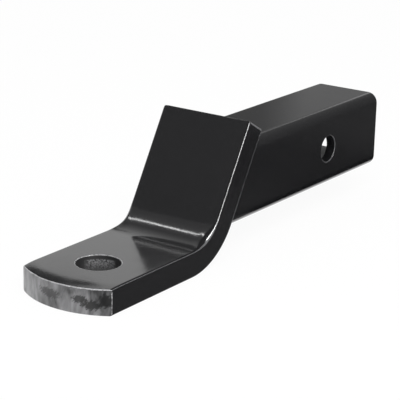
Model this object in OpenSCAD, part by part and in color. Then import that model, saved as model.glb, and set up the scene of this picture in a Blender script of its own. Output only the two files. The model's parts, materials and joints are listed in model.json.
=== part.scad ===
// Trailer ball mount: a bent flat bar that carries the ball, welded to a square tube shank.
// Origin: on the shank's centreline, where the hitch pin crosses it.
// +X runs to the shank's open end, the ball is on the -X side, and +Z is up.

/* [Shank tube] */
// Outside width and height of the square tube
shank_w = 50.8; // [44:0.2:64]
// Wall of the tube
shank_wall = 6.35; // [4:0.05:9]
// Radius of the tube's outside corners
shank_corner_r = 7; // [5:0.5:12]
// Radius of the tube's inside corners
shank_inner_r = 2; // [0.5:0.5:6]
// Pin hole's centre to the shank's open end
pin_to_end = 63.5; // [40:0.5:100]
// Diameter of the hitch pin's hole
pin_hole_d = 17.6; // [13:0.1:20]
// Chamfer on the rims of the pin hole
pin_hole_chamfer = 0.4; // [0.2:0.1:1]

/* [Bent bar] */
// Thickness of the flat bar
bar_t = 16; // [10:0.5:22]
// How far the bar stands out past each side of the tube
side_ledge = 6.6; // [5.5:0.1:12]
// Radius of the bar's rolled long edges
bar_edge_r = 1.5; // [0.5:0.25:2.5]
// Shank's centreline down to the top of the ball platform
drop = 26; // [24:0.5:120]
// Slope of the leg that rises to the shank
leg_angle = 60; // [50:1:75]
// Radius of the bend on its inside, the top
bend_r = 30; // [16:1:40]
// How far the leg's back stands above the tube, along its slope
top_ledge = 8.7; // [7:0.1:20]
// Radius of the leg's two top corners
leg_corner_r = 1.5; // [0.5:0.25:6]

/* [Ball platform] */
// Pin hole's centre to the ball hole's centre
pin_to_ball = 207; // [195:1:260]
// Diameter of the hole for the ball's threaded stem
ball_hole_d = 26; // [19:0.5:34]
// Chamfer on both rims of the ball hole
ball_hole_chamfer = 0.5; // [0.2:0.1:1.5]
// Ball hole's centre to the start of the bend
ball_to_bend = 47; // [32:1:80]
// Ball hole's centre to the middle of the rounded tip
ball_to_tip = 38; // [26:1:60]
// Radius of the tip, seen from above
tip_r = 55; // [45:1:150]
// Chamfer on the tip's top and bottom edges
tip_chamfer = 0.4; // [0.2:0.1:1.5]

/* [Weld] */
// Leg of the fillet weld, on the tube and on the bar
weld_leg = 5; // [3:0.25:8]
// Distance between two ripples of the weld
weld_pitch = 3.6; // [2.6:0.1:6]
// Height of a ripple
weld_ripple = 0.35; // [0.1:0.05:0.8]
// How far the middle of a ripple runs ahead of its ends
weld_bow = 1.4; // [0:0.1:2.5]

/* [Hidden] */
$fn = 96;

// Black coat on every piece
coat_black = "#1c1c1e";

// Over-run of cutting shapes past the faces that they cut
cut_over = 1;

// Shank
half_w = shank_w / 2;
bore_w = shank_w - 2 * shank_wall;

// Bent bar. The bend turns about an axis along Y, above the platform
bar_w = shank_w + 2 * side_ledge;
ball_x = -pin_to_ball;
bend_x = ball_x + ball_to_bend;
bend_z = bend_r - drop;
outer_r = bend_r + bar_t;
mid_r = bend_r + bar_t / 2;
// Turn by which the two halves of the bend overlap in its middle, in degrees
bend_overlap = 2;

// Back face of the leg, the plane that the tube is cut to
back_start_x = bend_x + outer_r * sin(leg_angle);
back_start_z = bend_z - outer_r * cos(leg_angle);
function back_x(z) = back_start_x + (z - back_start_z) / tan(leg_angle);
leg_len = (half_w - back_start_z) / sin(leg_angle) + top_ledge;

// Tip
tip_x = ball_x - ball_to_tip;
platform_len = bend_x - tip_x;

// Weld. A fine gap keeps its facets off the round faces that it seats on
bead_gap = 0.05;
bead_leg = min(weld_leg, side_ledge - bar_edge_r);
bead_r = norm([2 * bead_leg, bead_leg]);
bead_steps = 7;
stations_per_ripple = 4;
flat_len = shank_w - 2 * shank_corner_r;
side_len = flat_len + shank_corner_r * PI / 2;
weld_len = 4 * side_len;
ripple_count = round(weld_len * (1 + 1 / sin(leg_angle)) / 2 / weld_pitch);
station_count = ripple_count * stations_per_ripple;

// Rectangle with round corners, centred, drawn from squares and circles
module round_rect(size, r) {
    square([size.x - 2 * r, size.y], center = true);
    square([size.x, size.y - 2 * r], center = true);
    for (x = [-1, 1], y = [-1, 1])
        translate([x * (size.x / 2 - r), y * (size.y / 2 - r)])
            circle(r);
}

// Straight bar along X from one place to another, its profile drawn in Y and Z
module along_x(from, to) {
    translate([from, 0, 0])
        rotate([90, 0, 90])
            linear_extrude(to - from)
                children();
}

// Flat bar bent once: platform, bend and leg from one profile, whose X is the
// distance from the bend's axis and whose Y runs across the bar, to the part's -Y.
// Each straight carries its own half of the bend, and the halves overlap
module bent_bar(before, after) {
    half_turn = leg_angle / 2 + bend_overlap;
    translate([bend_x, 0, bend_z])
        rotate([90, 90, 0]) {
            rotate([90, 0, 0])
                linear_extrude(before)
                    children();
            rotate_extrude(angle = half_turn)
                children();
            rotate([0, 0, leg_angle]) {
                rotate_extrude(angle = half_turn, start = -half_turn)
                    children();
                translate([0, after, 0])
                    rotate([90, 0, 0])
                        linear_extrude(after)
                            children();
            }
        }
}

// What is sawn off the leg's top corners to round them
module leg_corner_waste() {
    translate([bend_x, 0, bend_z])
        rotate([90, 90, 0])
            rotate([0, 0, leg_angle])
                translate([bend_r - cut_over, leg_len, 0])
                    for (side = [-1, 1])
                        translate([0, -leg_corner_r, side * (bar_w / 2 - leg_corner_r)])
                            rotate([90, 0, 90])
                                linear_extrude(bar_t + 2 * cut_over)
                                    difference() {
                                        translate([0, side > 0 ? 0 : -2 * leg_corner_r])
                                            square(2 * leg_corner_r);
                                        circle(leg_corner_r);
                                    }
}

// Everything ahead of the rounded tip
module tip_waste() {
    disc_x = tip_x + tip_r;
    translate([disc_x, 0, -drop - bar_t])
        difference() {
            translate([-tip_r - cut_over, -bar_w / 2 - cut_over, -cut_over])
                cube([tip_r + cut_over, bar_w + 2 * cut_over, bar_t + 2 * cut_over]);
            rotate_extrude()
                polygon([
                    [0, -2 * cut_over],
                    [tip_r - tip_chamfer - 2 * cut_over, -2 * cut_over],
                    [tip_r, tip_chamfer],
                    [tip_r, bar_t - tip_chamfer],
                    [tip_r - tip_chamfer - 2 * cut_over, bar_t + 2 * cut_over],
                    [0, bar_t + 2 * cut_over]
                ]);
        }
}

// Round hole with both rims chamfered, along Z and centred
module chamfered_hole(d, length, chamfer) {
    cylinder(d = d, h = length + 2 * cut_over, center = true);
    for (side = [0, 1])
        mirror([0, 0, side])
            translate([0, 0, length / 2 - chamfer])
                cylinder(r1 = d / 2, r2 = d / 2 + chamfer + cut_over, h = chamfer + cut_over);
}

module ball_plate() {
    color(coat_black)
        difference() {
            bent_bar(platform_len, leg_len)
                translate([mid_r, 0])
                    round_rect([bar_t, bar_w], bar_edge_r);
            tip_waste();
            leg_corner_waste();
            translate([ball_x, 0, -drop - bar_t / 2])
                chamfered_hole(ball_hole_d, bar_t, ball_hole_chamfer);
        }
}

// Outside of the shank, its one end square and the other cut to the leg's back
module shank_blank() {
    intersection() {
        along_x(back_x(-half_w) - cut_over, pin_to_end)
            round_rect([shank_w, shank_w], shank_corner_r);
        rotate([90, 0, 0])
            linear_extrude(shank_w + 2 * cut_over, center = true)
                polygon([
                    [back_x(-half_w - cut_over), -half_w - cut_over],
                    [pin_to_end + cut_over, -half_w - cut_over],
                    [pin_to_end + cut_over, half_w + cut_over],
                    [back_x(half_w + cut_over), half_w + cut_over]
                ]);
    }
}

module shank_tube() {
    color(coat_black)
        difference() {
            shank_blank();
            along_x(back_x(-half_w) - 2 * cut_over, pin_to_end + cut_over)
                round_rect([bore_w, bore_w], shank_inner_r);
            rotate([90, 0, 0])
                chamfered_hole(pin_hole_d, shank_w, pin_hole_chamfer);
        }
}

// Place along X of the bar's back at height z: the leg's plane, then the bend
function bar_back_x(z) =
    z > back_start_z ? back_x(z) : bend_x + sqrt(pow(outer_r, 2) - pow(z - bend_z, 2));

// Point of the tube's outline at distance s round it, and the direction out
// of the tube there, both as y, z
function outline(s) =
    let (
        side = floor(s / side_len),
        t = s - side * side_len,
        out = [cos(90 * side), sin(90 * side)],
        on = [-sin(90 * side), cos(90 * side)],
        turn = max(0, t - flat_len) / shank_corner_r * 180 / PI,
        dir = out * cos(turn) + on * sin(turn),
        centre = (half_w - shank_corner_r) * out + (min(t, flat_len) - flat_len / 2) * on
    )
    [centre + shank_corner_r * dir, dir];

// Point of the bead at distance s round the tube, a out from the tube along
// the bar's back and b off the bar's back along the tube
function bead_point(s, a, b) =
    let (
        start = outline(s),
        dir = start[1],
        yz = start[0] + dir * a / norm([dir[1] / tan(leg_angle), 1])
    )
    [bar_back_x(yz[1]) + b, yz[0], yz[1]];

// One bowed ring of the bead: its convex face, its root and a point on the bar
function bead_ring(i) =
    let (
        start = weld_len * (1 + i / station_count),
        crest = abs(sin(180 * i / stations_per_ripple)),
        r = bead_r + weld_ripple * (crest - 0.5),
        toe = asin((bead_leg + bead_gap) / r)
    )
    concat(
        [
            for (j = [0:bead_steps])
                let (
                    turn = toe + (90 - 2 * toe) * j / bead_steps,
                    across = 2 * j / bead_steps - 1
                )
                bead_point(
                    start + weld_bow * (1 - pow(across, 2)),
                    r * cos(turn) - bead_leg,
                    r * sin(turn) - bead_leg
                )
        ],
        [
            bead_point(start, bead_gap, bead_gap),
            bead_point(start, bead_leg / 2, bead_gap)
        ]
    );

// Fillet weld all round the tube, seated on the tube and on the bar's back
module weld_bead() {
    ring_size = bead_steps + 3;
    points = [for (i = [0:station_count - 1]) each bead_ring(i)];
    faces = [
        for (i = [0:station_count - 1], j = [0:ring_size - 1])
            let (
                here = i * ring_size,
                next = (i + 1) % station_count * ring_size,
                j2 = (j + 1) % ring_size
            )
            each [
                [here + j, next + j2, next + j],
                [here + j, here + j2, next + j2]
            ]
    ];
    color(coat_black)
        polyhedron(points, faces);
}

ball_plate();
shank_tube();
weld_bead();
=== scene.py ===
# %% [markdown]
# # A trailer ball mount under black coat
# A ball mount is a thick steel bar, bent once, welded to a square tube. The bar's flat end
# carries the hitch ball, and the tube slides into the receiver of the towing vehicle.
# The three pieces come from a solid model at real size. Here they get their finest edges,
# the marks that pressing, shearing and welding leave, and a coat of black powder paint.
#
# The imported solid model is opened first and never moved: everything new is laid over it.

# %% Open the solid model
import json
import math

import bmesh
import bpy
from mathutils import Matrix, Vector

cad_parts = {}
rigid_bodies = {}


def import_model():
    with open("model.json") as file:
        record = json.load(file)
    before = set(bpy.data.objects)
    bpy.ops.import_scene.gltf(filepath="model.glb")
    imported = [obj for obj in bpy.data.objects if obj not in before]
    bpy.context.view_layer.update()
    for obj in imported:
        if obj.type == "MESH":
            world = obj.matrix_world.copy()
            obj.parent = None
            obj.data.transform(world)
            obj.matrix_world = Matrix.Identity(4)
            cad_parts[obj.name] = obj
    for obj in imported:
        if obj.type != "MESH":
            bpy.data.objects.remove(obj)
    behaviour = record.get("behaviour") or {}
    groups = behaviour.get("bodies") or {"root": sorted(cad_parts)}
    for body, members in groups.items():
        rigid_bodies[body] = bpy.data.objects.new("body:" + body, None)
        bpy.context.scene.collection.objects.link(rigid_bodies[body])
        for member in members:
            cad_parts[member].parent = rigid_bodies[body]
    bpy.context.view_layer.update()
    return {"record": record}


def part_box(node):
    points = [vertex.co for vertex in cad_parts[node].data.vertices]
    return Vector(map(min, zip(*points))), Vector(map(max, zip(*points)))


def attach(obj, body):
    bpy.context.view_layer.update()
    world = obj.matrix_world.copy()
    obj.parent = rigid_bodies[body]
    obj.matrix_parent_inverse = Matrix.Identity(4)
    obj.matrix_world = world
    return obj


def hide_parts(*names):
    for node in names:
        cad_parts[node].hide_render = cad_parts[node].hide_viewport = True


for leftover in list(bpy.data.objects):
    bpy.data.objects.remove(leftover)

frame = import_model()
mounts = {mount["name"]: mount for mount in frame["record"]["mounts"]}

# %% [markdown]
# ## Sizes
# Blender works in metres and a workshop drawing in millimetres, so one factor turns one into
# the other. What can be read from the solid model is read from it; the rest are the nominal
# sizes of the bar, its bend and the tube, which the model was drawn with. Only the leg's left
# corner is rounder here than there, because a shear seldom leaves two corners alike.

# %% Sizes of the bar and the tube, in millimetres
MM = 0.001

plate_low, plate_high = (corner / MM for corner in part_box("ball_plate"))
shank_low, shank_high = (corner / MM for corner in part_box("shank_tube"))

BAR_WIDTH = 64.0
BAR_THICK = 16.0
BAR_EDGE_R = 1.5
BEND_R = 30.0
LEG_TURN = math.radians(60)
BALL_TO_BEND = 47.0
TIP_R = 55.0
LEG_CORNER_R = {"left": 2.4, "right": 1.5}

ball_hole = mounts["ball_hole"]
BALL_HOLE_R = ball_hole["dims"]["r_mm"]
ball_x = ball_hole["pos_m"][0] / MM
platform_top = plate_low.z + BAR_THICK

bend_x = ball_x + BALL_TO_BEND
bend_z = platform_top + BEND_R
mid_r = BEND_R + BAR_THICK / 2
bend_run = mid_r * LEG_TURN
platform_len = bend_x - plate_low.x

TUBE_HALF = shank_high.y
TUBE_WALL = 6.35
TUBE_CORNER_R = 7.0
TUBE_INNER_R = 2.0
PIN_HOLE_R = mounts["hitch_pin_hole"]["dims"]["r_mm"]

back_x0 = bend_x + (BEND_R + BAR_THICK) * math.sin(LEG_TURN)
back_z0 = bend_z - (BEND_R + BAR_THICK) * math.cos(LEG_TURN)


def back_x(z):
    """Where the leg's back plane is at height z: the tube is sawn to it."""
    return back_x0 + (z - back_z0) / math.tan(LEG_TURN)


leg_foot_z = bend_z - BEND_R * math.cos(LEG_TURN)
leg_len = (plate_high.z - leg_foot_z) / math.sin(LEG_TURN)
print(f"platform {platform_len:.1f} mm, bend {bend_run:.1f} mm, leg {leg_len:.2f} mm")

# %% [markdown]
# ## Meshes from rings of points
# A bar, a tube and a weld bead are all one outline carried along a path. Such a piece could be
# made with a curve and its bevel, but then the outline could not change on the way, as it must
# at a rounded tip or a bend that swells. So each piece is written as a list of rings of points,
# and one helper joins ring to ring with four-sided faces.


# %% Join rings of points to a mesh
def ring_faces(rings, size, closed_path=False):
    """Four-sided faces between rings of points that follow one another."""
    count = rings if closed_path else rings - 1
    return [
        (
            i * size + j,
            (i + 1) % rings * size + j,
            (i + 1) % rings * size + (j + 1) % size,
            i * size + (j + 1) % size,
        )
        for i in range(count)
        for j in range(size)
    ]


def new_piece(name, points, faces):
    """A mesh object whose points are given in millimetres, its faces turned outwards."""
    mesh = bpy.data.meshes.new(name)
    mesh.from_pydata([Vector(p) * MM for p in points], [], faces)
    piece = bpy.data.objects.new(name, mesh)
    bpy.context.scene.collection.objects.link(piece)
    work = bmesh.new()
    work.from_mesh(mesh)
    bmesh.ops.remove_doubles(work, verts=work.verts, dist=1e-7)
    bmesh.ops.recalc_face_normals(work, faces=work.faces)
    work.to_mesh(mesh)
    work.free()
    return piece


def arc(radius, start, end, steps):
    """Points of an arc about the origin, its angles in degrees."""
    turns = [math.radians(start + (end - start) * i / steps) for i in range(steps + 1)]
    return [(radius * math.cos(t), radius * math.sin(t)) for t in turns]


def quarter_round(radius, steps):
    """How far a round rim draws in and how far it lies back, from the side to the end face."""
    turns = [math.pi / 2 * i / steps for i in range(steps + 1)]
    return [(radius * (1 - math.cos(t)), radius * (1 - math.sin(t))) for t in turns]


# %% [markdown]
# ## The bent bar
# The real bar is hot rolled flat steel, so its long edges are round, not sharp. It is sheared to
# an arc at the tip and pressed round a former. Pressing squeezes the metal on the inside of the
# bend, and it swells out sideways there and stands up a little along both edges. That swelling
# is what catches the light at the ends of the bend, so it is in the mesh and not in a bump map.
#
# The outline is split in a top half and a bottom half with the same places across the bar. That
# lets plain upright strips close both ends, also where the tip is curved.

# %% Outline of the bar
BAR_COLUMNS = 32
EDGE_STEPS = 6
SIDE_ROWS = 6

# Radius of the two upper edges in the middle of the bend, where the metal swells
BEND_EDGE_R = 4.5

bar_half = BAR_WIDTH / 2


def top_half(inset, edge_r):
    """Across and depth of the outline's top half, from -Y to +Y, drawn in by inset."""
    flat = bar_half - edge_r
    corner = [(flat + x, edge_r - y) for x, y in arc(edge_r - inset, 90, 0, EDGE_STEPS)]
    middle = [(-flat + 2 * flat * i / BAR_COLUMNS, inset) for i in range(1, BAR_COLUMNS)]
    return [(-across, depth) for across, depth in reversed(corner)] + middle + corner


def outline(inset, edge_r):
    """The whole closed outline: top half, +Y side, bottom half, -Y side."""
    top = top_half(inset, edge_r)
    bottom = [(across, BAR_THICK - depth) for across, depth in top_half(inset, BAR_EDGE_R)]
    low, high = top[-1][1], bottom[-1][1]
    rows = [low + (high - low) * i / SIDE_ROWS for i in range(1, SIDE_ROWS)]
    side = top[-1][0]
    return (
        top
        + [(side, depth) for depth in rows]
        + bottom[::-1]
        + [(-side, depth) for depth in rows[::-1]]
    )


# %% [markdown]
# A function carries a point of the outline to its place on the bar. On the way it adds what the
# press and the shear did: the metal stands up a little along both edges of the bend, and the top
# of the tip is drawn down towards the cut, more at one side than at the other, as a shear that
# closes from one side leaves it.

# %% Path of the bar, with the marks of press and shear
# The lip in the bend: its height, how far it reaches from its crest across and along the bar,
# and how far the crest lies from the side
LIP_HEIGHT = 0.35
LIP_WIDTH = 5.0
LIP_LENGTH = 18.0
LIP_FROM_SIDE = 3.0

# The roll at the tip: its length, its depth on the +Y side, and the share of that depth that it
# loses by the middle, and once more by the -Y side
ROLL_LENGTH = 11.0
ROLL_DEPTH = 0.9
ROLL_SLOPE = 0.3


def bump(x):
    """A smooth hill that is 1 at 0 and falls to 0 at -1 and 1."""
    return (1 + math.cos(math.pi * x)) / 2 if abs(x) < 1 else 0.0


def tip_run(across):
    """Where the rounded tip is, at this place across the bar."""
    return -platform_len + TIP_R - math.sqrt(TIP_R**2 - across**2)


def bar_point(run, across, depth):
    """Point of the bar: run mm along its middle from the start of the bend."""
    from_crest = bar_half - LIP_FROM_SIDE - abs(across)
    lip = bump((run - bend_run / 2) / LIP_LENGTH) * bump(from_crest / LIP_WIDTH)
    from_cut = max(0.0, 1 - (run - tip_run(across)) / ROLL_LENGTH)
    roll = from_cut**2 * (1 - ROLL_SLOPE + ROLL_SLOPE * across / bar_half)
    inner = max(0.0, 1 - 2 * depth / BAR_THICK)
    depth += inner * (ROLL_DEPTH * roll - LIP_HEIGHT * lip)
    turn = min(max(run / mid_r, 0.0), LEG_TURN)
    straight = run - turn * mid_r
    radius = BEND_R + depth
    return (
        bend_x + radius * math.sin(turn) + straight * math.cos(turn),
        across,
        bend_z - radius * math.cos(turn) + straight * math.sin(turn),
    )


# %% [markdown]
# The stations along the bar are close together in the bend and wide apart on the straights. The
# last few at each end draw the outline in while they run out, which rounds the rim of the cut.

# %% Stations along the bar
# Radius of the rims at both cut ends
RIM_R = 0.5
RIM_STEPS = 3

# How far behind the tip the first stations are, and how far past the bend the close ones go on
NEAR_TIP = (1.0, 1.7, 2.6, 3.7, 5.0, 6.6, 8.6, 11.0)
BEND_MARGIN = 3.0
PLATFORM_STATIONS = 14
BEND_STATIONS = 36
LEG_STATIONS = 14

bar_rim = quarter_round(RIM_R, RIM_STEPS)


def leg_end_run(across):
    """Where the top of the leg is: its two corners are rounded, the left one more."""
    corner_r = LEG_CORNER_R["left" if across > 0 else "right"]
    past = max(0.0, abs(across) - (bar_half - corner_r))
    return bend_run + leg_len - corner_r + math.sqrt(corner_r**2 - past**2)


def behind_tip(back):
    """The run that is back mm behind the tip, for each place across the bar."""
    return lambda across: tip_run(across) + back


def before_leg_end(back):
    """The run that is back mm before the top of the leg."""
    return lambda across: leg_end_run(across) - back


def straight_across(run):
    """The same run all across the bar."""
    return lambda across: run


def between(start, end, share):
    """A run that is share of the way from one run to another."""
    return lambda across: start(across) + (end(across) - start(across)) * share


stations = [(inset, BAR_EDGE_R, behind_tip(back)) for inset, back in reversed(bar_rim)]
stations += [(0.0, BAR_EDGE_R, behind_tip(back)) for back in NEAR_TIP]
for i in range(1, PLATFORM_STATIONS):
    run = between(
        behind_tip(NEAR_TIP[-1]), straight_across(-BEND_MARGIN), i / PLATFORM_STATIONS
    )
    stations.append((0.0, BAR_EDGE_R, run))
for i in range(BEND_STATIONS + 1):
    run = -BEND_MARGIN + (bend_run + 2 * BEND_MARGIN) * i / BEND_STATIONS
    grown = BAR_EDGE_R + (BEND_EDGE_R - BAR_EDGE_R) * bump((run - bend_run / 2) / LIP_LENGTH)
    stations.append((0.0, grown, straight_across(run)))
for i in range(1, LEG_STATIONS):
    run = between(
        straight_across(bend_run + BEND_MARGIN), before_leg_end(RIM_R), i / LEG_STATIONS
    )
    stations.append((0.0, BAR_EDGE_R, run))
stations += [(inset, BAR_EDGE_R, before_leg_end(back)) for inset, back in bar_rim]

points = []
for inset, edge_r, run in stations:
    points += [bar_point(run(a), a, depth) for a, depth in outline(inset, edge_r)]

# %% [markdown]
# The two cut ends are closed with upright strips, one between each pair of neighbours in the top
# half and the two below them. The outermost strips also take in the rows of the side.

# %% Close the ends and make the bar
ring_size = len(outline(0.0, BAR_EDGE_R))
half_size = len(top_half(0.0, BAR_EDGE_R))
first_bottom = half_size + SIDE_ROWS - 1


def end_strips(base):
    """Faces that close one end of the bar, whose ring starts at base."""
    strips = []
    for j in range(half_size - 1):
        low = first_bottom + half_size - 1 - j
        strip = [base + j, base + j + 1]
        if j == half_size - 2:
            strip += [base + half_size + k for k in range(SIDE_ROWS - 1)]
        strip += [base + low - 1, base + low]
        if j == 0:
            strip += [base + low + 1 + k for k in range(SIDE_ROWS - 1)]
        strips.append(tuple(strip))
    return strips


bar_faces = ring_faces(len(stations), ring_size)
bar_faces += end_strips(0) + end_strips((len(stations) - 1) * ring_size)
bent_bar = new_piece("bent_bar", points, bar_faces)
print("bar:", len(bent_bar.data.vertices), "points,", len(bent_bar.data.polygons), "faces")

# %% [markdown]
# ## Drilling
# The ball hole and the pin hole are cut with a Boolean, as a drill would cut them. The cutter is a
# round bar that widens at each face, so the rim comes out slightly broken, as a deburred hole is.
# The Boolean is applied at once and the cutter thrown away, which leaves a plain mesh to work on.


# %% Cut a hole with a broken rim
HOLE_SEGMENTS = 96
HOLE_RIM_STEPS = 4
CUTTER_OVERRUN = 2.0


def rim_cutter(radius, half_length, rim_size):
    """A turned cutter along Z: straight, then widening in a small curve at both faces."""
    curve = [
        (radius + out, half_length - depth)
        for out, depth in quarter_round(rim_size, HOLE_RIM_STEPS)
    ]
    curve.append((radius + rim_size, half_length + CUTTER_OVERRUN))
    profile = [(r, -z) for r, z in reversed(curve)] + curve
    turns = [2 * math.pi * i / HOLE_SEGMENTS for i in range(HOLE_SEGMENTS)]
    rings = [[(r * math.cos(a), r * math.sin(a), z) for a in turns] for r, z in profile]
    faces = ring_faces(len(rings), HOLE_SEGMENTS)
    last = (len(rings) - 1) * HOLE_SEGMENTS
    faces += [tuple(range(HOLE_SEGMENTS)), tuple(range(last, last + HOLE_SEGMENTS))]
    return new_piece("cutter", [p for ring in rings for p in ring], faces)


def cut(piece, cutter):
    """Subtract cutter from piece and delete the cutter."""
    boolean = piece.modifiers.new("cut", "BOOLEAN")
    boolean.operation = "DIFFERENCE"
    boolean.solver = "EXACT"
    boolean.object = cutter
    bpy.context.view_layer.update()
    cut_piece = piece.evaluated_get(bpy.context.evaluated_depsgraph_get())
    mesh = bpy.data.meshes.new_from_object(cut_piece)
    piece.modifiers.clear()
    piece.data = mesh
    bpy.data.objects.remove(cutter)


BALL_HOLE_RIM = 0.65
ball_cutter = rim_cutter(BALL_HOLE_R, BAR_THICK / 2, BALL_HOLE_RIM)
ball_cutter.location = Vector((ball_x, 0, platform_top - BAR_THICK / 2)) * MM
cut(bent_bar, ball_cutter)
print("bar with its hole:", len(bent_bar.data.polygons), "faces")

# %% [markdown]
# ## The square shank
# The shank is a length of structural tube: a square outline with round corners outside and tight
# ones inside. One end is sawn square; the other is sawn to the slope of the leg, so its ring of
# points is not in one plane across X but in the leg's back plane. The sawn rim is eased all round,
# outside twice as much as inside, as a quick pass with a file leaves it.


# %% Outline of the tube
CORNER_STEPS = 12


def square_outline(half, radius):
    """Closed square outline in Y and Z with round corners, the same count for each size."""
    points = []
    for side in range(4):
        turn = math.radians(90 * side)
        for x, y in arc(radius, 0, 90, CORNER_STEPS):
            px, py = half - radius + x, half - radius + y
            turned_y = px * math.cos(turn) - py * math.sin(turn)
            turned_z = px * math.sin(turn) + py * math.cos(turn)
            points.append((turned_y, turned_z))
    return points


TUBE_RIM_R = 0.6
TUBE_RIM_STEPS = 4

open_end = shank_high.x
bore_half = TUBE_HALF - TUBE_WALL
outer_rim = quarter_round(TUBE_RIM_R, TUBE_RIM_STEPS)
inner_rim = quarter_round(TUBE_RIM_R / 2, TUBE_RIM_STEPS)

tube_rings = [[(back_x(z), y, z) for y, z in square_outline(TUBE_HALF, TUBE_CORNER_R)]]
for inset, back in outer_rim:
    skin = square_outline(TUBE_HALF - inset, TUBE_CORNER_R - inset)
    tube_rings.append([(open_end - back, y, z) for y, z in skin])
for grow, back in reversed(inner_rim):
    skin = square_outline(bore_half + grow, TUBE_INNER_R + grow)
    tube_rings.append([(open_end - back, y, z) for y, z in skin])
tube_rings.append([(back_x(z), y, z) for y, z in square_outline(bore_half, TUBE_INNER_R)])

square_shank = new_piece(
    "square_shank",
    [p for ring in tube_rings for p in ring],
    ring_faces(len(tube_rings), len(tube_rings[0]), closed_path=True),
)

PIN_HOLE_RIM = 0.4
pin_cutter = rim_cutter(PIN_HOLE_R, TUBE_HALF, PIN_HOLE_RIM)
pin_cutter.rotation_euler = (math.pi / 2, 0, 0)
cut(square_shank, pin_cutter)
print("shank:", len(square_shank.data.polygons), "faces")

# %% [markdown]
# ## The fillet weld
# A weld laid by hand is a row of frozen puddles: each one overlaps the last and bows ahead in the
# middle, where the metal stayed liquid longest. The bead could be a bump map on a plain fillet,
# but it stands against the leg's plain back where its outline shows. So the ripples are modelled,
# with a slow wander in width and spacing that a hand gives.

# %% Weld bead all round the tube
WELD_LEG = 5.0
WELD_PITCH = 3.6
WELD_RIPPLE = 0.42
WELD_BOW = 1.4
WELD_GAP = 0.05
WELD_STEPS = 14
STATIONS_PER_RIPPLE = 9

# What the hand adds: how far a ripple drifts along, and the shares by which the bead's width
# drifts and grows at a crest. Then the crest's form: its lean, its fullness and its mean height
DRIFT_ALONG = 0.35
WIDTH_DRIFT = 0.05
WIDTH_AT_CREST = 0.02
CREST_LEAN = 0.7
CREST_FULLNESS = 0.8
MEAN_CREST = 0.6

flat_len = 2 * (TUBE_HALF - TUBE_CORNER_R)
side_len = flat_len + TUBE_CORNER_R * math.pi / 2
weld_len = 4 * side_len
ripples = round(weld_len * (1 + 1 / math.sin(LEG_TURN)) / 2 / WELD_PITCH)


def bar_back_x(z):
    """Place of the bar's back at height z: the leg's plane, then the bend."""
    if z > back_z0:
        return back_x(z)
    return bend_x + math.sqrt((BEND_R + BAR_THICK) ** 2 - (z - bend_z) ** 2)


def tube_outline(s):
    """Point of the tube's outline at distance s round it, and the direction out of it."""
    side, t = divmod(s % weld_len, side_len)
    turn = max(0.0, t - flat_len) / TUBE_CORNER_R + math.radians(90) * side
    facing = math.radians(90) * side
    along = min(t, flat_len) - flat_len / 2
    centre = TUBE_HALF - TUBE_CORNER_R
    y = centre * math.cos(facing) - along * math.sin(facing) + TUBE_CORNER_R * math.cos(turn)
    z = centre * math.sin(facing) + along * math.cos(facing) + TUBE_CORNER_R * math.sin(turn)
    return y, z, math.cos(turn), math.sin(turn)


def weld_point(s, out, off):
    """Point of the bead at distance s round the tube, out from it and off the bar's back."""
    y, z, out_y, out_z = tube_outline(s)
    reach = out / math.hypot(out_z / math.tan(LEG_TURN), 1)
    y, z = y + out_y * reach, z + out_z * reach
    return (bar_back_x(z) + off, y, z)


def wander(s, seed):
    """Slow change round the bead, between about -1 and 1, that meets itself at the end."""
    turn = 2 * math.pi * s / weld_len
    return 0.5 * math.sin(5 * turn + seed) + 0.5 * math.sin(13 * turn + 2.3 * seed)


weld_rings = []
for i in range(ripples * STATIONS_PER_RIPPLE):
    s = weld_len * i / (ripples * STATIONS_PER_RIPPLE)
    s += DRIFT_ALONG * wander(s, 1.0)
    phase = (i % STATIONS_PER_RIPPLE) / STATIONS_PER_RIPPLE
    crest = math.sin(math.pi * phase**CREST_LEAN) ** CREST_FULLNESS
    leg = WELD_LEG * (1 + WIDTH_DRIFT * wander(s, 4.0) + WIDTH_AT_CREST * crest)
    r = math.hypot(2 * leg, leg) + WELD_RIPPLE * (crest - MEAN_CREST)
    toe = math.asin((leg + WELD_GAP) / r)
    ring = []
    for j in range(WELD_STEPS + 1):
        turn = toe + (math.pi / 2 - 2 * toe) * j / WELD_STEPS
        across = 2 * j / WELD_STEPS - 1
        bow = WELD_BOW * (1 - across**2)
        ring.append(weld_point(s + bow, r * math.cos(turn) - leg, r * math.sin(turn) - leg))
    ring.append(weld_point(s, WELD_GAP, WELD_GAP))
    weld_rings.append(ring)

fillet_weld = new_piece(
    "fillet_weld",
    [p for ring in weld_rings for p in ring],
    ring_faces(len(weld_rings), len(weld_rings[0]), closed_path=True),
)
print("weld:", ripples, "ripples,", len(fillet_weld.data.polygons), "faces")

# %% [markdown]
# ## Shading and the frame
# All faces are shaded smooth, and edges sharper than a limit are marked sharp, so flats stay flat
# and round edges stay round. On the bar and the tube the Weighted Normal modifier then lets the
# large flats decide the shading at their borders; the weld has no flats. Each new piece rides on
# the one body of the part and stands for the solid that it covers, which is hidden.

# %% Shade, attach and replace
SHARP_ANGLE = math.radians(35)

for piece, node, has_flats in (
    (bent_bar, "ball_plate", True),
    (square_shank, "shank_tube", True),
    (fillet_weld, "weld_bead", False),
):
    for face in piece.data.polygons:
        face.use_smooth = True
    piece.data.set_sharp_from_angle(angle=SHARP_ANGLE)
    if has_flats:
        weighted = piece.modifiers.new("weighted normals", "WEIGHTED_NORMAL")
        weighted.keep_sharp = True
    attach(piece, "root")
    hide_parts(node)
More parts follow.
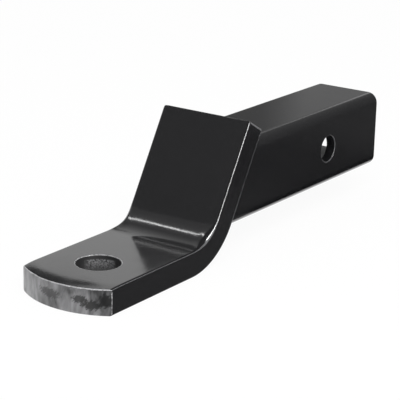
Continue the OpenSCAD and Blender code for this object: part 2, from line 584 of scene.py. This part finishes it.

# %% [markdown]
# ## Materials
# Every surface here carries one coat: black powder paint, baked on. What lies under it changes how
# it looks. Over rolled bar it is smooth with the fine pebble called orange peel; over the sheared
# tip it is thin and shows the torn steel, and its colour also holds painted reflections; deep in a
# hole it is dusted on and rough, with a painted reflection on one side; and on rims and edges its
# pale grey is a painted highlight, in the colour of coat worn thin.
#
# Colours are written as the hex values that a colour picker shows. Those are sRGB, and a shader
# wants linear light, so one function turns one into the other. A second helper adds a shader node
# with its settings and its links, which keeps each material down to its recipe.


# %% Colour and node helpers
# Where a Mix node has its two colours, counted among its inputs, and its result
MIX_A, MIX_B, MIXED = 6, 7, 2


def linear(hex_colour):
    """Linear RGBA from an sRGB hex value such as "#1c1c1e"."""
    parts = [int(hex_colour[i : i + 2], 16) / 255 for i in (1, 3, 5)]
    return [c / 12.92 if c <= 0.04045 else ((c + 0.055) / 1.055) ** 2.4 for c in parts] + [1.0]


def add_node(tree, kind, settings=None, inputs=None):
    """Add a node. An input given as a socket is linked, and any other is a value."""
    node = tree.nodes.new(kind)
    for name, value in (settings or {}).items():
        setattr(node, name, value)
    for name, value in (inputs or {}).items():
        if isinstance(value, bpy.types.NodeSocket):
            tree.links.new(value, node.inputs[name])
        else:
            node.inputs[name].default_value = value
    return node


def new_material(name):
    """An empty node material and its tree."""
    material = bpy.data.materials.new(name)
    material.use_nodes = True
    material.node_tree.nodes.clear()
    return material, material.node_tree


# %% [markdown]
# ## Powder coat over rolled steel
# Powder paint is a polyester resin, so it is no metal, and its IOR is that of plastics, 1.5 to
# 1.6. A fresh black coat is glossy, with a roughness from 0.1 on smooth bar to 0.25 on a weld.
# Orange peel is a wave about 1.6 mm wide and only a hundredth of a millimetre or two high. The
# grain of the pigment is near 0.1 mm, too fine for the render, so it is drawn at 0.8 mm, where it
# just shows. A slow drift in gloss, over a centimetre or so, keeps large faces from looking flat.
#
# The same recipe, rougher and with paler colours, makes the dusty coat in the tube and the two
# pale coats on rims and edges. Their grey is a painted highlight, in the colour of coat rubbed
# thin.

# %% Powder coat
COAT_IOR = 1.6
PEEL_WIDTH = 1.6 * MM
GRAIN_WIDTH = 0.8 * MM
DRIFT_WIDTH = 14 * MM


def powder_coat(
    name, peel_height, grain_height, roughness, roughness_spread, dark="#151516", light="#202022"
):
    """Black powder paint with orange peel, pigment grain and slow drifts in gloss."""
    material, tree = new_material(name)
    place = add_node(tree, "ShaderNodeTexCoord").outputs["Object"]
    peel = add_node(
        tree, "ShaderNodeTexNoise",
        inputs={"Vector": place, "Scale": 1 / PEEL_WIDTH, "Detail": 1.0, "Roughness": 0.4},
    )
    grain = add_node(
        tree, "ShaderNodeTexNoise",
        inputs={"Vector": place, "Scale": 1 / GRAIN_WIDTH, "Detail": 2.0, "Roughness": 0.6},
    )
    drift = add_node(
        tree, "ShaderNodeTexNoise",
        inputs={"Vector": place, "Scale": 1 / DRIFT_WIDTH, "Detail": 3.0, "Roughness": 0.5},
    )
    waves = add_node(
        tree, "ShaderNodeBump",
        inputs={"Height": peel.outputs["Fac"], "Distance": peel_height, "Strength": 1.0},
    )
    specks = add_node(
        tree, "ShaderNodeBump",
        inputs={
            "Height": grain.outputs["Fac"], "Distance": grain_height, "Strength": 1.0,
            "Normal": waves.outputs["Normal"],
        },
    )
    gloss = add_node(
        tree, "ShaderNodeMapRange",
        inputs={
            "Value": drift.outputs["Fac"], "From Min": 0.3, "From Max": 0.7,
            "To Min": roughness - roughness_spread, "To Max": roughness + roughness_spread,
        },
    )
    tint = add_node(tree, "ShaderNodeValToRGB", inputs={"Fac": grain.outputs["Fac"]})
    tint.color_ramp.elements[0].position = 0.35
    tint.color_ramp.elements[0].color = linear(dark)
    tint.color_ramp.elements[1].position = 0.7
    tint.color_ramp.elements[1].color = linear(light)
    surface = add_node(
        tree, "ShaderNodeBsdfPrincipled",
        inputs={
            "Base Color": tint.outputs["Color"], "Roughness": gloss.outputs["Result"],
            "Normal": specks.outputs["Normal"], "IOR": COAT_IOR, "Metallic": 0.0,
        },
    )
    add_node(tree, "ShaderNodeOutputMaterial", inputs={"Surface": surface.outputs["BSDF"]})
    return material


# Each coat's height of peel and of grain, its roughness and how far that drifts, and its colours
coat_on_bar = powder_coat("powder_coat_on_rolled_bar", 0.018 * MM, 0.006 * MM, 0.12, 0.03)
coat_on_tube = powder_coat("powder_coat_on_tube", 0.012 * MM, 0.004 * MM, 0.15, 0.03)
coat_on_weld = powder_coat("powder_coat_on_weld", 0.01 * MM, 0.004 * MM, 0.24, 0.06)
coat_in_tube = powder_coat(
    "dusted_coat_inside_tube", 0.02 * MM, 0.01 * MM, 0.45, 0.1, "#39393a", "#5c5c5e"
)
# These two paint highlights on rims and edges, in the pale grey of coat rubbed thin
highlight_and_wear_rim = powder_coat(
    "painted_highlight_and_wear_on_rims", 0.02 * MM, 0.01 * MM, 0.3, 0.05, "#606062", "#b4b4b6"
)
highlight_and_wear_edge = powder_coat(
    "painted_highlight_and_wear_on_edges", 0.01 * MM, 0.006 * MM, 0.25, 0.05, "#48484a", "#767678"
)

# %% [markdown]
# ## Thin coat and painted light over the sheared tip
# Shearing tears the steel: the face is dull, smoky and smeared across. The thin coat lets the grey
# of the metal through, and that grey is also a painted sheen of reflected light. Two ragged
# patches of painted black stand for dark reflections, laid where the steel tore deepest. The upper
# rim and the right-hand corner get painted highlights, drawn as if handling had rubbed them bare.
#
# A noise drawn out upright gives the smoke, and the far side is painted a little lighter than the
# near one, as painted light. The blade drags the steel at a slant, so a second, finer noise is
# drawn out at that slant. A patch starts as the distance from its middle, and the finer noise is
# taken from it before it is cut off, so that its border frays along the slant. The same noise
# makes the borders of the painted highlights ragged.

# %% Sheared tip
SMOKE_WIDTH = 6 * MM
SMOKE_HEIGHT = 18 * MM
# How much lighter the far side is painted, as painted light
PAINTED_LIGHT_ON_FAR_SIDE = 0.12

# The finer noise: the slant that it is drawn out at, its size in depth, across and along that
# slant, how deep it frays a patch, and between which values a patch turns from dark to clear
SMEAR_SLANT = math.radians(40)
FRAY_SIZE = (2.4 * MM, 1.08 * MM, 3.84 * MM)
FRAY_DEPTH = 2.6
DARK_PATCH_FULLY = -0.66
DARK_PATCH_EDGE = -0.34

# Painted dark reflections: middle across and up, half width and half height in mm, and how black
# it gets
PAINTED_DARK_PATCHES = (
    ((4.0, -33.5), (8.5, 3.0), 0.75),
    ((-15.5, -33.5), (5.0, 2.6), 0.9),
    ((-22.0, -36.0), (7.5, 3.4), 1.0),
    ((-29.5, -33.0), (4.4, 4.6), 0.9),
)

# The painted highlights on the upper rim and the right-hand corner: how wide each is, how strong,
# how far the noise moves its border, and a shift that takes the mean of that away again
HIGHLIGHT_RIM = 1.1 * MM
HIGHLIGHT_CORNER = 0.35 * MM
HIGHLIGHT_SHARE = 0.9
RAGGED_DEPTH = 2.4 * MM
RAGGED_SHIFT = -1.3 * MM
TEAR_HEIGHT = 0.06 * MM
TORN_ROUGHNESS = 0.36

# The shear draws the upper rim down, so its width is counted from a little under the platform
DRAWN_DOWN = 0.27
rim_height = (platform_top - DRAWN_DOWN) * MM

sheared_tip_with_painted_light, tree = new_material("thin_coat_and_painted_light_on_sheared_tip")
place = add_node(tree, "ShaderNodeTexCoord").outputs["Object"]
axes = add_node(tree, "ShaderNodeSeparateXYZ", inputs={"Vector": place})
upright = add_node(
    tree, "ShaderNodeMapping",
    inputs={"Vector": place, "Scale": (1 / SMOKE_WIDTH, 1 / SMOKE_WIDTH, 1 / SMOKE_HEIGHT)},
)
smoke = add_node(
    tree, "ShaderNodeTexNoise",
    inputs={
        "Vector": upright.outputs["Vector"], "Scale": 1.0, "Detail": 4.0, "Roughness": 0.5,
        "Distortion": 0.5,
    },
)
slanted = add_node(
    tree, "ShaderNodeMapping", {"vector_type": "TEXTURE"},
    {"Vector": place, "Rotation": (SMEAR_SLANT, 0.0, 0.0), "Scale": FRAY_SIZE},
)
fray = add_node(
    tree, "ShaderNodeTexNoise",
    inputs={
        "Vector": slanted.outputs["Vector"], "Scale": 1.0, "Detail": 6.0, "Roughness": 0.7,
        "Distortion": 0.6,
    },
)
# The smoke, painted lighter towards the far side as painted light
to_the_left = add_node(
    tree, "ShaderNodeMath", {"operation": "MULTIPLY_ADD"},
    {0: axes.outputs["Y"], 1: PAINTED_LIGHT_ON_FAR_SIDE / (bar_half * MM), 2: smoke.outputs["Fac"]},
)
# Grey of the thin coat over steel, partly a painted sheen of reflected light
steel = add_node(tree, "ShaderNodeValToRGB", inputs={"Fac": to_the_left.outputs["Value"]})
steel.color_ramp.elements[0].position = 0.3
steel.color_ramp.elements[0].color = linear("#303031")
steel.color_ramp.elements[1].position = 0.7
steel.color_ramp.elements[1].color = linear("#939395")
colour = steel.outputs["Color"]

# Each patch paints a dark reflection into the colour, laid where the steel tore
for (y, z), (half_y, half_z), depth in PAINTED_DARK_PATCHES:
    moved = add_node(
        tree, "ShaderNodeVectorMath", {"operation": "SUBTRACT"},
        {0: place, 1: (0.0, y * MM, z * MM)},
    )
    scaled = add_node(
        tree, "ShaderNodeVectorMath", {"operation": "MULTIPLY"},
        {0: moved.outputs[0], 1: (0.0, 1 / (half_y * MM), 1 / (half_z * MM))},
    )
    far = add_node(
        tree, "ShaderNodeVectorMath", {"operation": "LENGTH"}, {0: scaled.outputs[0]}
    )
    frayed = add_node(
        tree, "ShaderNodeMath", {"operation": "MULTIPLY_ADD"},
        {0: fray.outputs["Fac"], 1: -FRAY_DEPTH, 2: far.outputs["Value"]},
    )
    dark_patch = add_node(
        tree, "ShaderNodeMapRange",
        inputs={
            "Value": frayed.outputs["Value"], "From Min": DARK_PATCH_FULLY, "From Max": DARK_PATCH_EDGE,
            "To Min": depth, "To Max": 0.0,
        },
    )
    darkened_by_patch = add_node(
        tree, "ShaderNodeMix", {"data_type": "RGBA"},
        {"Factor": dark_patch.outputs["Result"], MIX_A: colour, MIX_B: linear("#121213")},
    )
    colour = darkened_by_patch.outputs[MIXED]

# Painted highlights along the upper rim and the right-hand corner, with ragged borders
ragged = add_node(
    tree, "ShaderNodeMath", {"operation": "MULTIPLY_ADD"},
    {0: fray.outputs["Fac"], 1: RAGGED_DEPTH, 2: RAGGED_SHIFT},
)
for axis, edge, width, sign in (
    ("Z", rim_height, HIGHLIGHT_RIM, 1.0),
    ("Y", -bar_half * MM, HIGHLIGHT_CORNER, -1.0),
):
    near = add_node(
        tree, "ShaderNodeMath", {"operation": "MULTIPLY_ADD"},
        {0: axes.outputs[axis], 1: sign, 2: ragged.outputs["Value"]},
    )
    highlight_band = add_node(
        tree, "ShaderNodeMapRange",
        inputs={
            "Value": near.outputs["Value"], "From Min": sign * edge - width,
            "From Max": sign * edge - width / 2, "To Min": 0.0, "To Max": HIGHLIGHT_SHARE,
        },
    )
    highlighted = add_node(
        tree, "ShaderNodeMix", {"data_type": "RGBA"},
        {"Factor": highlight_band.outputs["Result"], MIX_A: colour, MIX_B: linear("#c4c4c6")},
    )
    colour = highlighted.outputs[MIXED]

relief = add_node(
    tree, "ShaderNodeBump",
    inputs={"Height": fray.outputs["Fac"], "Distance": TEAR_HEIGHT, "Strength": 1.0},
)
surface = add_node(
    tree, "ShaderNodeBsdfPrincipled",
    inputs={
        "Base Color": colour, "Roughness": TORN_ROUGHNESS, "IOR": COAT_IOR,
        "Normal": relief.outputs["Normal"],
    },
)
add_node(tree, "ShaderNodeOutputMaterial", inputs={"Surface": surface.outputs["BSDF"]})

# %% [markdown]
# ## Dusted coat and painted reflection on the drilled wall
# Powder is blown at a part from one side. It coats the rim of a hole well and hardly reaches
# further in. So the wall of the ball hole is plain black for the first few millimetres. Below that
# it is rough, and on its side towards +X and +Y it is painted pale with pale specks: a painted
# reflection of the white floor below, drawn as dust and as drilled steel showing through. It
# darkens again towards the far end.

# %% Drilled wall
SPECK_WIDTH = 0.9 * MM
PIT_HEIGHT = 0.12 * MM
DUSTY_ROUGHNESS = 0.5

# Depths below the platform's top where the full coat ends, where the pale patch is strongest and
# where it ends; then the side that the painted reflection lies on, and how far towards that side
# it starts and is full
FULL_COAT_DEPTH = 2.24 * MM
COATED_DEPTH = 3.2 * MM
PAINTED_REFLECTION_DEPTH = 10.0 * MM
PAINTED_REFLECTION_SIDE = (0.82, 0.57, 0.0)
PAINTED_REFLECTION_FROM = 9.2 * MM
PAINTED_REFLECTION_FULLY = 11.5 * MM

drilled_wall_with_painted_reflection, tree = new_material("dusted_coat_and_painted_reflection_on_drilled_wall")
place = add_node(tree, "ShaderNodeTexCoord").outputs["Object"]
axes = add_node(tree, "ShaderNodeSeparateXYZ", inputs={"Vector": place})
specks = add_node(
    tree, "ShaderNodeTexNoise",
    inputs={"Vector": place, "Scale": 1 / SPECK_WIDTH, "Detail": 4.0, "Roughness": 0.7},
)
shade = add_node(tree, "ShaderNodeValToRGB", inputs={"Fac": specks.outputs["Fac"]})
shade.color_ramp.elements[0].position = 0.4
shade.color_ramp.elements[0].color = linear("#18181a")
shade.color_ramp.elements[1].position = 0.62
shade.color_ramp.elements[1].color = linear("#909092")
reached = add_node(
    tree, "ShaderNodeMapRange",
    inputs={
        "Value": axes.outputs["Z"], "From Min": platform_top * MM - COATED_DEPTH,
        "From Max": platform_top * MM - FULL_COAT_DEPTH, "To Min": 0.0, "To Max": 1.0,
    },
)
from_axis = add_node(
    tree, "ShaderNodeVectorMath", {"operation": "SUBTRACT"}, {0: place, 1: (ball_x * MM, 0.0, 0.0)}
)
# The painted reflection lies on one side of the wall only
facing_reflection_side = add_node(
    tree, "ShaderNodeVectorMath", {"operation": "DOT_PRODUCT"},
    {0: from_axis.outputs[0], 1: PAINTED_REFLECTION_SIDE},
)
aside = add_node(
    tree, "ShaderNodeMapRange",
    inputs={
        "Value": facing_reflection_side.outputs["Value"], "From Min": PAINTED_REFLECTION_FROM,
        "From Max": PAINTED_REFLECTION_FULLY, "To Min": 1.0, "To Max": 0.0,
    },
)
deep = add_node(
    tree, "ShaderNodeMapRange",
    inputs={
        "Value": axes.outputs["Z"], "From Min": platform_top * MM - PAINTED_REFLECTION_DEPTH,
        "From Max": platform_top * MM - COATED_DEPTH, "To Min": 1.0, "To Max": 0.0,
    },
)
above_or_aside = add_node(
    tree, "ShaderNodeMath", {"operation": "MAXIMUM"},
    {0: reached.outputs["Result"], 1: aside.outputs["Result"]},
)
plain = add_node(
    tree, "ShaderNodeMath", {"operation": "MAXIMUM"},
    {0: above_or_aside.outputs["Value"], 1: deep.outputs["Result"]},
)
# Pale specks of painted reflection and dust below the coated band, plain coat elsewhere
wall = add_node(
    tree, "ShaderNodeMix", {"data_type": "RGBA"},
    {"Factor": plain.outputs["Value"], MIX_A: shade.outputs["Color"], MIX_B: linear("#161617")},
)
pits = add_node(
    tree, "ShaderNodeBump",
    inputs={"Height": specks.outputs["Fac"], "Distance": PIT_HEIGHT, "Strength": 1.0},
)
surface = add_node(
    tree, "ShaderNodeBsdfPrincipled",
    inputs={
        "Base Color": wall.outputs[MIXED], "Roughness": DUSTY_ROUGHNESS, "IOR": COAT_IOR,
        "Normal": pits.outputs["Normal"],
    },
)
add_node(tree, "ShaderNodeOutputMaterial", inputs={"Surface": surface.outputs["BSDF"]})

# %% [markdown]
# ## Which face gets which finish
# The faces are picked by where they lie and where they look, as a painter would mask them. The tip
# is what lies on its arc, a hole's wall is what lies within its radius, and the inside of the tube
# is what lies within the bore. Rims are what lies just outside a hole's wall and looks aslant, and
# they get a painted highlight. The edges with a painted highlight are narrow bands on the bar's
# rolled edges, on the platform and behind the leg, picked by the way they face; their pale grey is
# the colour of coat rubbed thin.

# %% Give each face its finish
# How far outside a wall, in millimetres, a face's centre may lie to be on it
ON_WALL = 0.02
RIM_MARGIN = 1.0

# Shares of a normal along one axis: 1 looks straight along it, and 0 square to it
STRAIGHT = 0.99
A_LITTLE = 0.1
TIP_AHEAD = 0.3
TIP_RIM = 0.93
# Bands of the rolled edges that get a painted highlight, by how much their normal looks along Y
TOP_EDGE = (0.7, 0.86)
BACK_EDGE = (0.8, 0.995)


def finish_faces(piece, materials, choose):
    """Set each face's material: choose gets its centre in mm and its normal."""
    piece.data.materials.clear()
    for material in materials:
        piece.data.materials.append(material)
    counts = [0] * len(materials)
    for face in piece.data.polygons:
        face.material_index = materials.index(choose(face.center / MM, face.normal))
        counts[face.material_index] += 1
    print(piece.name, "faces per finish:", counts)


def bar_finish(centre, normal):
    """The bar's coat, other in the hole, on the tip, and with a painted highlight on its rims and
    edges.
    """
    from_ball = math.hypot(centre.x - ball_x, centre.y)
    if from_ball < BALL_HOLE_R + ON_WALL:
        return drilled_wall_with_painted_reflection
    # The ring just outside the hole gets a painted highlight
    if from_ball < BALL_HOLE_R + BALL_HOLE_RIM and abs(normal.z) < STRAIGHT:
        return highlight_and_wear_rim
    if centre.x < ball_x and normal.x < -TIP_AHEAD and abs(normal.z) < TIP_RIM:
        return sheared_tip_with_painted_light
    on_top = normal.z > A_LITTLE and centre.z < leg_foot_z
    if on_top and TOP_EDGE[0] < abs(normal.y) < TOP_EDGE[1]:
        return highlight_and_wear_edge
    behind = normal.x > A_LITTLE and centre.z > back_z0
    if behind and BACK_EDGE[0] < abs(normal.y) < BACK_EDGE[1]:
        return highlight_and_wear_edge
    return coat_on_bar


def shank_finish(centre, normal):
    """The tube's coat, dusty in the bore, and with a painted highlight and wear on the pin hole's
    rims.
    """
    within_bore = max(abs(centre.y), abs(centre.z)) < bore_half + ON_WALL
    if within_bore and centre.x < open_end - RIM_MARGIN:
        return coat_in_tube
    from_pin = math.hypot(centre.x, centre.z)
    if from_pin < PIN_HOLE_R + PIN_HOLE_RIM and 1 - STRAIGHT < abs(normal.y) < STRAIGHT:
        return highlight_and_wear_edge
    return coat_on_tube


finish_faces(
    bent_bar, [coat_on_bar, sheared_tip_with_painted_light, drilled_wall_with_painted_reflection, highlight_and_wear_rim, highlight_and_wear_edge], bar_finish
)
finish_faces(square_shank, [coat_on_tube, coat_in_tube, highlight_and_wear_edge], shank_finish)
finish_faces(fillet_weld, [coat_on_weld], lambda centre, normal: coat_on_weld)

# %% [markdown]
# ## White surroundings
# The part stands on a white table before a white backdrop. The world is white to the camera and to
# reflections, and softer as a light, so that the coat renders about as its colour is written.
# The floor is part paper and part glow: the glow keeps it white, and the paper keeps the faint
# shadow that the part throws. Its underside is clear, so that the part can be seen from below.

# %% World and floor
AMBIENT = 0.6
FLOOR_GLOW = 0.94
FLOOR_SIZE = 6.0

world = bpy.data.worlds.new("white_studio")
bpy.context.scene.world = world
world.use_nodes = True
tree = world.node_tree
tree.nodes.clear()


def seen_directly(tree):
    """1 for camera, glossy and transmission rays, and 0 for the rest."""
    path = add_node(tree, "ShaderNodeLightPath")
    first = add_node(
        tree, "ShaderNodeMath", {"operation": "MAXIMUM"},
        {0: path.outputs["Is Camera Ray"], 1: path.outputs["Is Glossy Ray"]},
    )
    return add_node(
        tree, "ShaderNodeMath", {"operation": "MAXIMUM"},
        {0: first.outputs["Value"], 1: path.outputs["Is Transmission Ray"]},
    ).outputs["Value"]


white = add_node(
    tree, "ShaderNodeBackground", inputs={"Color": linear("#ffffff"), "Strength": 1.0}
)
soft = add_node(
    tree, "ShaderNodeBackground", inputs={"Color": linear("#ffffff"), "Strength": AMBIENT}
)
mixed = add_node(
    tree, "ShaderNodeMixShader",
    inputs={0: seen_directly(tree), 1: soft.outputs[0], 2: white.outputs[0]},
)
add_node(tree, "ShaderNodeOutputWorld", inputs={"Surface": mixed.outputs[0]})

floor = new_piece(
    "floor",
    [(x * FLOOR_SIZE / 2 / MM, y * FLOOR_SIZE / 2 / MM, plate_low.z)
     for x, y in ((-1, -1), (1, -1), (1, 1), (-1, 1))],
    [(0, 1, 2, 3)],
)
paper_floor, tree = new_material("white_paper_floor")
paper = add_node(tree, "ShaderNodeBsdfDiffuse", inputs={"Color": linear("#ffffff")})
glow = add_node(
    tree, "ShaderNodeEmission", inputs={"Color": linear("#ffffff"), "Strength": 1.0}
)
share = add_node(
    tree, "ShaderNodeMath", {"operation": "MULTIPLY"}, {0: seen_directly(tree), 1: FLOOR_GLOW}
)
mixed = add_node(
    tree, "ShaderNodeMixShader",
    inputs={0: share.outputs["Value"], 1: paper.outputs[0], 2: glow.outputs[0]},
)
clear = add_node(tree, "ShaderNodeBsdfTransparent")
from_below = add_node(tree, "ShaderNodeNewGeometry").outputs["Backfacing"]
one_sided = add_node(
    tree, "ShaderNodeMixShader",
    inputs={0: from_below, 1: mixed.outputs[0], 2: clear.outputs[0]},
)
add_node(tree, "ShaderNodeOutputMaterial", inputs={"Surface": one_sided.outputs[0]})
floor.data.materials.append(paper_floor)

# %% [markdown]
# ## Grey cards
# Black paint has hardly a colour of its own: what the eye sees is what it mirrors. A photographer
# lights black gloss by choosing that, with cards round the part and a gap between them that lets
# the ball platform mirror the white backdrop. The cards here work on reflections only: they throw
# no shadow, take no light from the part and are not seen.
#
# Grey cards give each face its own tone, and most of them change along their length, so that a
# face shades off from end to end. A far card tones all faces that look the same way. The platform,
# the tip and the tube's top do so, and each needs its own tone, so two smaller cards stand close
# behind the part, where only one of the three mirrors each.


# %% Cards and where they stand
def card(name, corners, tones, axis="X"):
    """A flat card, its corners in metres, that only reflections see.

    The tones are pairs of a share of its length along the axis and a colour.
    """
    piece = new_piece(name, [Vector(c) / MM for c in corners], [(0, 1, 2, 3)])
    material, tree = new_material(name)
    place = add_node(tree, "ShaderNodeTexCoord").outputs["Generated"]
    split = add_node(tree, "ShaderNodeSeparateXYZ", inputs={"Vector": place})
    ramp = add_node(tree, "ShaderNodeValToRGB", inputs={"Fac": split.outputs[axis]})
    stops = ramp.color_ramp.elements
    while len(stops) > 1:
        stops.remove(stops[-1])
    stops[0].position, stops[0].color = tones[0][0], linear(tones[0][1])
    for position, shade in tones[1:]:
        stops.new(position).color = linear(shade)
    tone = add_node(tree, "ShaderNodeEmission", inputs={"Color": ramp.outputs["Color"]})
    add_node(tree, "ShaderNodeOutputMaterial", inputs={"Surface": tone.outputs[0]})
    piece.data.materials.append(material)
    piece.visible_camera = False
    piece.visible_diffuse = False
    piece.visible_shadow = False
    piece.visible_transmission = False


PART_MIDDLE = Vector((-0.12, 0.0, 0.0))


def toward(azimuth, elevation, distance, origin=PART_MIDDLE):
    """The point at that distance; azimuth is from +X towards +Y, in degrees."""
    a, e = math.radians(azimuth), math.radians(elevation)
    direction = Vector((math.cos(a) * math.cos(e), math.sin(a) * math.cos(e), math.sin(e)))
    return origin + direction * distance


def level(x_from, x_to, y_from, y_to, z):
    """Corners of a level card."""
    return [(x_from, y_from, z), (x_to, y_from, z), (x_to, y_to, z), (x_from, y_to, z)]


# Places of cards in metres: a far card's distance, and the height or the Y of the others
CARD_FAR = 1.6
CEILING = 0.95
ON_FLOOR = (plate_low.z + 0.5) * MM
OVER_FLOOR_CARD = ON_FLOOR + 0.3 * MM
BEHIND = 0.25

# Mirrored by the tube's upper corner
card(
    "ceiling_card", level(-1.7, 2.6, -2.2, 0.5, CEILING),
    [(0.6, "#5a5a5a"), (0.66, "#8c8c8c")],
)
# Mirrored by the inside of the bend
card(
    "graded_card_over_the_bend", level(-1.7, 0.8, 0.5, 1.35, CEILING),
    [(0.0, "#a0a0a0"), (0.5, "#a8a8a8"), (0.62, "#c4c4c4"), (0.74, "#909090"), (1.0, "#ffffff")],
)
# Mirrored by the front of the leg
card(
    "card_before_the_leg",
    [toward(103, 8, CARD_FAR), toward(178, 8, CARD_FAR),
     toward(178, 62, CARD_FAR), toward(103, 62, CARD_FAR)],
    [(0.0, "#808080")],
)
# Mirrored by the lower part of the tube's upper corner
card(
    "card_beside_the_shank",
    [toward(-75, -3, CARD_FAR), toward(-2, -3, CARD_FAR),
     toward(-2, 36, CARD_FAR), toward(-75, 36, CARD_FAR)],
    [(0.0, "#646464"), (1.0, "#8c8c8c")], "Z",
)
# Mirrored by the long side of the bar and of the tube
card(
    "card_on_the_floor", level(-0.5, 2.4, -1.8, -0.028, ON_FLOOR),
    [(0.0, "#646464"), (0.15, "#606060"), (0.19, "#3e3e3e"), (0.212, "#404040"),
     (0.235, "#5c5c5c")],
)
# Mirrored low on the side of the tube, above its bright lower corner
card(
    "black_card_by_the_shank", level(-0.06, 0.16, -0.063, -0.027, OVER_FLOOR_CARD),
    [(0.0, "#000000")],
)
# Mirrored by the top of the tube
card(
    "card_behind_the_shank",
    [(0.245, BEHIND, -0.04), (0.62, BEHIND, -0.04), (0.62, BEHIND, 0.4), (0.245, BEHIND, 0.4)],
    [(0.264, "#707070"), (0.367, "#888888"), (0.47, "#a0a0a0")],
)
# Mirrored where the top of the tip is drawn down
card(
    "card_behind_the_tip",
    [(-0.14, BEHIND, 0.07), (0.092, BEHIND, 0.148),
     (0.092, BEHIND, 0.185), (-0.14, BEHIND, 0.215)],
    [(0.0, "#5c5c5c")],
)

# %% [markdown]
# ## Lamps
# A large soft lamp above and in front gives the even light, and is kept out of the reflections.
# Two narrow ones are there for reflections alone: one draws the bright line along the inside of
# the bend, the other the bright edge down the leg's right side. An edge or a bend mirrors a strip,
# so each lamp is a long rectangle, and its long side is turned to where the line must run.


# %% Lamps
def area_lamp(name, ends, width, aim, power, in_reflections):
    """A strip lamp between two points, its face turned to aim; metres and watts."""
    start, end = (Vector(point) for point in ends)
    place = (start + end) / 2
    light = bpy.data.lights.new(name, "AREA")
    light.shape = "RECTANGLE"
    light.size, light.size_y = (end - start).length, width
    light.energy = power
    lamp = bpy.data.objects.new(name, light)
    bpy.context.scene.collection.objects.link(lamp)
    face = (place - Vector(aim)).normalized()
    long_side = (end - start) - face * (end - start).dot(face)
    long_side.normalize()
    turn = Matrix((long_side, face.cross(long_side), face)).transposed()
    lamp.matrix_world = Matrix.Translation(place) @ turn.to_4x4()
    lamp.visible_glossy = in_reflections
    lamp.visible_diffuse = not in_reflections
    lamp.visible_camera = False


# Near the middle of the inside of the bend, and of the leg's right side
bend_middle = Vector((bend_x + 12, 0, platform_top + 5)) * MM
leg_middle = Vector((bend_x + 45, -bar_half, 10)) * MM
area_lamp(
    "soft_key", ends=((-1.5, -0.9, 1.4), (-0.3, -0.9, 1.4)), width=1.2,
    aim=(-0.1, 0, 0), power=22, in_reflections=False,
)
area_lamp(
    "line_in_the_bend",
    ends=(toward(87, 51, 0.85, bend_middle), toward(87, 62, 0.85, bend_middle)), width=0.04,
    aim=bend_middle, power=0.22, in_reflections=True,
)
area_lamp(
    "edge_of_the_leg",
    ends=(toward(-120, 19, 0.9, leg_middle), toward(-76, 46, 0.9, leg_middle)), width=0.12,
    aim=leg_middle, power=12, in_reflections=True,
)

# %% [markdown]
# ## Camera
# The camera stands where the photograph was taken from: in front of the ball end, on the part's -Y
# side and a little above it. The place was found by matching the straight edges and the two holes
# of the part to the photograph.

# %% Camera
CAMERA_AZIMUTH = math.radians(-54.894)
CAMERA_ELEVATION = math.radians(17.749)
CAMERA_ROLL = math.radians(1.209)
CAMERA_DISTANCE = 0.936929
CAMERA_AIM = Vector((-0.108678, 0.0, -0.013411))
SENSOR = 36.0
FOCAL_LENGTH = 137.724

camera_data = bpy.data.cameras.new("camera")
camera_data.sensor_width = SENSOR
camera_data.lens = FOCAL_LENGTH
camera_data.clip_start = 0.05
camera = bpy.data.objects.new("camera", camera_data)
bpy.context.scene.collection.objects.link(camera)

back = Vector(
    (
        math.sin(CAMERA_AZIMUTH) * math.cos(CAMERA_ELEVATION),
        -math.cos(CAMERA_AZIMUTH) * math.cos(CAMERA_ELEVATION),
        math.sin(CAMERA_ELEVATION),
    )
)
right = (-back).cross(Vector((0, 0, 1))).normalized()
up = right.cross(-back)
turned_right = right * math.cos(CAMERA_ROLL) + up * math.sin(CAMERA_ROLL)
turned_up = up * math.cos(CAMERA_ROLL) - right * math.sin(CAMERA_ROLL)
axes = Matrix((turned_right, turned_up, back)).transposed()
camera.matrix_world = Matrix.Translation(CAMERA_AIM + back * CAMERA_DISTANCE) @ axes.to_4x4()
bpy.context.scene.camera = camera
bpy.context.scene.view_settings.view_transform = "Standard"
